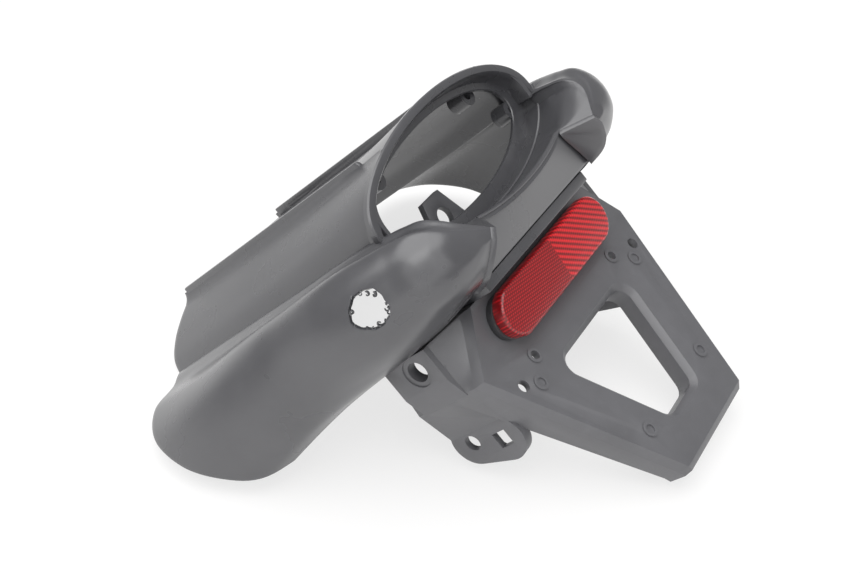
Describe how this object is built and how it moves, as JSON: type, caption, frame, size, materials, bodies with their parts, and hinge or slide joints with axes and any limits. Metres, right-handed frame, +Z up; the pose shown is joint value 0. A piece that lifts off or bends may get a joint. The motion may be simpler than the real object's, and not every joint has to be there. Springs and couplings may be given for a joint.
{
  "type": "scooter rear fairing",
  "caption": "Scooter tail cover with a hollow deck, side pods and an oval lamp opening, on a plate holder with frame ears and a red reflector.",
  "frame": {"origin": "midway between the axes of the two ear bores, on the plane of symmetry", "axes": "+X to the scooter's right, +Y forward, +Z up, with the tail deck level"},
  "size_m": [0.2436, 0.185, 0.1807],
  "materials": {
    "cover_plastic": "fine satin grain, faded and scuffed",
    "holder_plastic": "fine matt grain",
    "reflector_black": "matt",
    "reflector_red": "glossy prismatic red",
    "zinc_steel": "zinc plated"
  },
  "bodies": {
    "root": {"tail_cover": "cover_plastic", "plate_holder": "holder_plastic", "reflector_base": "reflector_black", "reflector_lens": "reflector_red", "reflector_washer": "zinc_steel", "reflector_nut": "zinc_steel", "cover_screws": "zinc_steel"}
  },
  "joints": []
}
